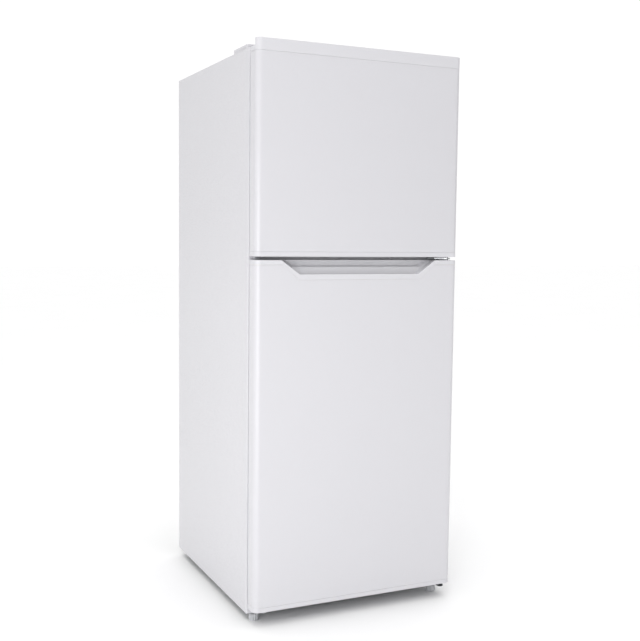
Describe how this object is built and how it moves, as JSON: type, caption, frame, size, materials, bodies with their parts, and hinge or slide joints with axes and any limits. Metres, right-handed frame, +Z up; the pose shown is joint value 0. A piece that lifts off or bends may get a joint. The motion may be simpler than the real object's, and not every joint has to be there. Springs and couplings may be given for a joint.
{
  "type": "top freezer refrigerator",
  "caption": "Upright two-door refrigerator with the freezer above, right-hand hinges, a scooped handle between the doors, and shelves, bins, drawer and compressor inside.",
  "frame": {"origin": "on the floor, under the middle of the object's bounding box", "axes": "+Z up, doors facing -Y, +X to the right as seen from the front, hinges at +X"},
  "size_m": [0.595, 0.665, 1.5],
  "materials": {
    "white_steel": "satin",
    "white_plastic": "satin",
    "liner_plastic": "satin",
    "clear_plastic": "gloss",
    "shelf_glass": "gloss",
    "foam": "matte",
    "door_seal": "matte",
    "grey_plastic": "satin",
    "dark_steel": "satin",
    "plated_steel": "satin",
    "galvanised_steel": "matte",
    "black_enamel": "gloss",
    "black_plastic": "matte",
    "copper": "satin",
    "coil_aluminium": "satin"
  },
  "bodies": {
    "cabinet": {"left_side_panel": "white_steel", "right_side_panel": "white_steel", "top_panel": "white_steel", "mullion_rail": "white_steel", "control_housing": "white_plastic", "top_hinge_cover": "white_plastic", "hinge_hole_cover": "white_plastic", "freezer_liner": "liner_plastic", "fridge_liner": "liner_plastic", "evaporator_cover": "liner_plastic", "air_duct": "liner_plastic", "lamp_cover": "clear_plastic", "freezer_shelf": "shelf_glass", "fridge_shelf_upper": "shelf_glass", "fridge_shelf_lower": "shelf_glass", "crisper_cover": "shelf_glass", "cabinet_foam": "foam", "rear_spacer_left": "grey_plastic", "rear_spacer_right": "grey_plastic", "bottom_hinge_bracket": "dark_steel", "bottom_hinge_pin": "dark_steel", "top_hinge_plate": "plated_steel", "top_hinge_pin": "plated_steel", "middle_hinge_bracket": "plated_steel", "middle_hinge_pin": "plated_steel", "rear_panel": "galvanised_steel", "bottom_panel": "galvanised_steel", "base_pan": "galvanised_steel", "compressor": "black_enamel", "compressor_terminal_cover": "black_plastic", "drip_tray": "black_plastic", "cord_gland": "black_plastic", "fan_motor": "black_plastic", "discharge_pipe": "copper", "evaporator": "coil_aluminium"},
    "freezer_door": {"freezer_door_skin": "white_steel", "freezer_door_foam": "foam", "freezer_door_liner": "liner_plastic", "freezer_door_gasket": "door_seal", "freezer_door_top_cap": "white_plastic", "freezer_door_bottom_cap": "white_plastic"},
    "fridge_door": {"fridge_door_skin": "white_steel", "fridge_door_foam": "foam", "fridge_door_liner": "liner_plastic", "fridge_door_gasket": "door_seal", "fridge_door_top_cap": "white_plastic", "fridge_door_bottom_cap": "white_plastic"},
    "freezer_bin_upper": {"freezer_bin_upper": "clear_plastic"},
    "freezer_bin_lower": {"freezer_bin_lower": "clear_plastic"},
    "fridge_bin_upper": {"fridge_bin_upper": "clear_plastic"},
    "fridge_bin_middle": {"fridge_bin_middle": "clear_plastic"},
    "fridge_bin_bottle": {"fridge_bin_bottle": "clear_plastic"},
    "crisper_drawer": {"crisper_drawer": "clear_plastic"},
    "thermostat_knob": {"thermostat_knob": "grey_plastic"},
    "light_switch_plunger": {"light_switch_plunger": "white_plastic"},
    "fan_blade": {"fan_blade": "white_plastic"},
    "front_foot_left": {"front_foot_left": "grey_plastic"},
    "front_foot_right": {"front_foot_right": "grey_plastic"},
    "rear_roller_left": {"rear_roller_left": "black_plastic"},
    "rear_roller_right": {"rear_roller_right": "black_plastic"}
  },
  "joints": [
    {"name": "freezer_door_hinge", "type": "hinge", "parent": "cabinet", "child": "freezer_door", "pos_m": [0.278, -0.3085, 1.2], "axis": [0, 0, 1], "range_deg": [0, 120]},
    {"name": "fridge_door_hinge", "type": "hinge", "parent": "cabinet", "child": "fridge_door", "pos_m": [0.278, -0.3085, 0.5], "axis": [0, 0, 1], "range_deg": [0, 120]},
    {"name": "freezer_bin_upper_lift", "type": "slide", "parent": "freezer_door", "child": "freezer_bin_upper", "axis": [0, 0, 1], "range_m": [0, 0.018]},
    {"name": "freezer_bin_lower_lift", "type": "slide", "parent": "freezer_door", "child": "freezer_bin_lower", "axis": [0, 0, 1], "range_m": [0, 0.018]},
    {"name": "fridge_bin_upper_lift", "type": "slide", "parent": "fridge_door", "child": "fridge_bin_upper", "axis": [0, 0, 1], "range_m": [0, 0.018]},
    {"name": "fridge_bin_middle_lift", "type": "slide", "parent": "fridge_door", "child": "fridge_bin_middle", "axis": [0, 0, 1], "range_m": [0, 0.018]},
    {"name": "fridge_bin_bottle_lift", "type": "slide", "parent": "fridge_door", "child": "fridge_bin_bottle", "axis": [0, 0, 1], "range_m": [0, 0.018]},
    {"name": "crisper_drawer_slide", "type": "slide", "parent": "cabinet", "child": "crisper_drawer", "axis": [0, -1, 0], "range_m": [0, 0.04]},
    {"name": "thermostat_knob_turn", "type": "hinge", "parent": "cabinet", "child": "thermostat_knob", "pos_m": [0.11, -0.21, 0.893], "axis": [0, -1, 0], "range_deg": [-120, 120]},
    {"name": "light_switch_slide", "type": "slide", "parent": "cabinet", "child": "light_switch_plunger", "axis": [0, -1, 0], "range_m": [0, 0.005]},
    {"name": "fan_spin", "type": "hinge", "parent": "cabinet", "child": "fan_blade", "pos_m": [0, 0.23, 1.345], "axis": [0, -1, 0], "continuous": true},
    {"name": "front_foot_left_turn", "type": "hinge", "parent": "cabinet", "child": "front_foot_left", "pos_m": [-0.273, -0.2685, 0.01], "axis": [0, 0, 1], "continuous": true},
    {"name": "front_foot_right_turn", "type": "hinge", "parent": "cabinet", "child": "front_foot_right", "pos_m": [0.273, -0.2685, 0.01], "axis": [0, 0, 1], "continuous": true},
    {"name": "rear_roller_left_roll", "type": "hinge", "parent": "cabinet", "child": "rear_roller_left", "pos_m": [-0.262, 0.29, 0.011], "axis": [1, 0, 0], "continuous": true},
    {"name": "rear_roller_right_roll", "type": "hinge", "parent": "cabinet", "child": "rear_roller_right", "pos_m": [0.262, 0.29, 0.011], "axis": [1, 0, 0], "continuous": true}
  ],
  "couplings": [
    {"joint": "light_switch_slide", "follows": "fridge_door_hinge", "m_per_rad": 0.00238}
  ]
}
